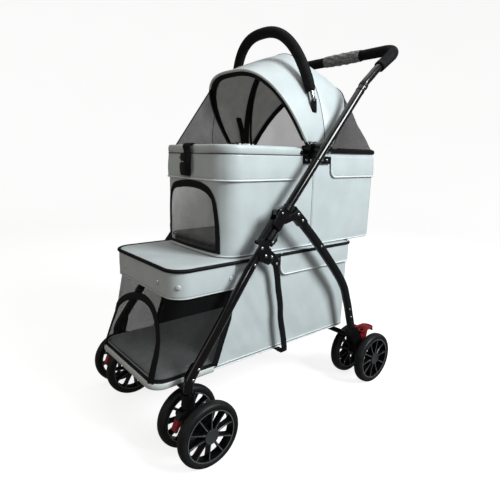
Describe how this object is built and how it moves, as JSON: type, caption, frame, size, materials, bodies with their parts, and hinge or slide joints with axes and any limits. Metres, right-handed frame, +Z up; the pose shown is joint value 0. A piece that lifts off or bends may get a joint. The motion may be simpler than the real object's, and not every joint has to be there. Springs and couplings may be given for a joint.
{
  "type": "two-tier pet stroller",
  "caption": "Two-tier folding pet stroller: hooded upper carrier over a lower cabin, twin swivel casters in front, braked twin rear wheels and a fold-over push handle.",
  "frame": {"origin": "on the ground, below the middle of the box that holds the stroller", "axes": "+Z up from the ground to the carry handle, front towards -Y, +X to the left hand of the person who pushes"},
  "size_m": [0.519, 0.804, 1.0406],
  "materials": {
    "grey_leather": "soft sheen",
    "black_mesh": "open weave",
    "dark_cloth": "matt",
    "black_tube": "gloss",
    "black_plastic": "satin",
    "black_webbing": "matt",
    "tyre_rubber": "satin",
    "black_foam": "matt",
    "red_plastic": "gloss",
    "zinc_steel": "zinc plated"
  },
  "bodies": {
    "chassis": {"basket_floor": "grey_leather", "basket_shell": "grey_leather", "basket_mesh": "black_mesh", "basket_deck": "grey_leather", "basket_hanger": "black_plastic", "front_floor_bar": "black_tube", "carrier_shell": "grey_leather", "carrier_door": "black_mesh", "carrier_floor_pad": "dark_cloth", "carrier_rim": "black_tube", "front_buckle": "black_webbing", "canopy_fixed_bows": "black_plastic", "canopy_front": "grey_leather", "canopy_rear": "grey_leather", "rear_mesh": "black_mesh", "side_mesh": "black_mesh", "carry_handle": "black_tube", "carry_grip": "black_foam", "front_leg_left": "black_tube", "fold_knuckle_left": "black_plastic", "front_leg_right": "black_tube", "fold_knuckle_right": "black_plastic"},
    "handle": {"handle_bar": "black_tube", "handle_grip": "black_foam", "push_tube_left": "black_tube", "push_tube_right": "black_tube"},
    "rear_frame": {"rear_cross_tube": "black_tube", "rear_leg_left": "black_plastic", "rear_wheel_housing_left": "black_plastic", "rear_leg_right": "black_plastic", "rear_wheel_housing_right": "black_plastic"},
    "canopy_bow": {"canopy_front_bow": "black_plastic"},
    "fold_lock_left": {"fold_lock_left": "black_plastic"},
    "front_caster_left": {"front_caster_yoke_left": "black_plastic"},
    "swivel_lock_left": {"swivel_lock_left": "red_plastic"},
    "brake_left": {"brake_pedal_left": "red_plastic"},
    "front_wheels_left": {"axle_front_left": "zinc_steel", "rim_front_left_outer": "black_plastic", "tyre_front_left_outer": "tyre_rubber", "rim_front_left_inner": "black_plastic", "tyre_front_left_inner": "tyre_rubber"},
    "rear_wheels_left": {"axle_rear_left": "zinc_steel", "rim_rear_left_outer": "black_plastic", "tyre_rear_left_outer": "tyre_rubber", "rim_rear_left_inner": "black_plastic", "tyre_rear_left_inner": "tyre_rubber"},
    "fold_lock_right": {"fold_lock_right": "black_plastic"},
    "front_caster_right": {"front_caster_yoke_right": "black_plastic"},
    "swivel_lock_right": {"swivel_lock_right": "red_plastic"},
    "brake_right": {"brake_pedal_right": "red_plastic"},
    "front_wheels_right": {"axle_front_right": "zinc_steel", "rim_front_right_outer": "black_plastic", "tyre_front_right_outer": "tyre_rubber", "rim_front_right_inner": "black_plastic", "tyre_front_right_inner": "tyre_rubber"},
    "rear_wheels_right": {"axle_rear_right": "zinc_steel", "rim_rear_right_outer": "black_plastic", "tyre_rear_right_outer": "tyre_rubber", "rim_rear_right_inner": "black_plastic", "tyre_rear_right_inner": "tyre_rubber"}
  },
  "joints": [
    {"name": "handle_fold", "type": "hinge", "parent": "chassis", "child": "handle", "pos_m": [0, -0.07569, 0.56429], "axis": [1, 0, 0], "range_deg": [0, 165]},
    {"name": "rear_leg_fold", "type": "hinge", "parent": "chassis", "child": "rear_frame", "pos_m": [0, -0.017, 0.55756], "axis": [-1, 0, 0], "range_deg": [0, 45]},
    {"name": "canopy_front_fold", "type": "hinge", "parent": "chassis", "child": "canopy_bow", "pos_m": [0, 0.058, 0.722], "axis": [-1, 0, 0], "range_deg": [0, 30], "deforming": ["canopy_front", "side_mesh"]},
    {"name": "fold_lock_left_slide", "type": "slide", "parent": "chassis", "child": "fold_lock_left", "axis": [0, -0.6494, -0.7604], "range_m": [0, 0.008], "stiffness_N_per_m": 300, "springref_m": -0.002},
    {"name": "front_swivel_left", "type": "hinge", "parent": "chassis", "child": "front_caster_left", "pos_m": [0.2, -0.337, 0.169], "axis": [0, 0, 1], "continuous": true},
    {"name": "front_wheels_left_spin", "type": "hinge", "parent": "front_caster_left", "child": "front_wheels_left", "pos_m": [0.2, -0.312, 0.07932], "axis": [1, 0, 0], "continuous": true},
    {"name": "swivel_lock_left_turn", "type": "hinge", "parent": "front_caster_left", "child": "swivel_lock_left", "pos_m": [0.2, -0.358, 0.124], "axis": [-1, 0, 0], "range_deg": [0, 30]},
    {"name": "rear_wheels_left_spin", "type": "hinge", "parent": "rear_frame", "child": "rear_wheels_left", "pos_m": [0.2, 0.312, 0.07932], "axis": [1, 0, 0], "continuous": true},
    {"name": "brake_left_press", "type": "hinge", "parent": "rear_frame", "child": "brake_left", "pos_m": [0.2, 0.322, 0.123], "axis": [-1, 0, 0], "range_deg": [0, 14]},
    {"name": "fold_lock_right_slide", "type": "slide", "parent": "chassis", "child": "fold_lock_right", "axis": [0, -0.6494, -0.7604], "range_m": [0, 0.008], "stiffness_N_per_m": 300, "springref_m": -0.002},
    {"name": "front_swivel_right", "type": "hinge", "parent": "chassis", "child": "front_caster_right", "pos_m": [-0.2, -0.337, 0.169], "axis": [0, 0, 1], "continuous": true},
    {"name": "front_wheels_right_spin", "type": "hinge", "parent": "front_caster_right", "child": "front_wheels_right", "pos_m": [-0.2, -0.312, 0.07932], "axis": [1, 0, 0], "continuous": true},
    {"name": "swivel_lock_right_turn", "type": "hinge", "parent": "front_caster_right", "child": "swivel_lock_right", "pos_m": [-0.2, -0.358, 0.124], "axis": [-1, 0, 0], "range_deg": [0, 30]},
    {"name": "rear_wheels_right_spin", "type": "hinge", "parent": "rear_frame", "child": "rear_wheels_right", "pos_m": [-0.2, 0.312, 0.07932], "axis": [1, 0, 0], "continuous": true},
    {"name": "brake_right_press", "type": "hinge", "parent": "rear_frame", "child": "brake_right", "pos_m": [-0.2, 0.322, 0.123], "axis": [-1, 0, 0], "range_deg": [0, 14]}
  ],
  "couplings": [
    {"joint": "rear_leg_fold", "follows": "handle_fold", "ratio": 0.27273}
  ]
}
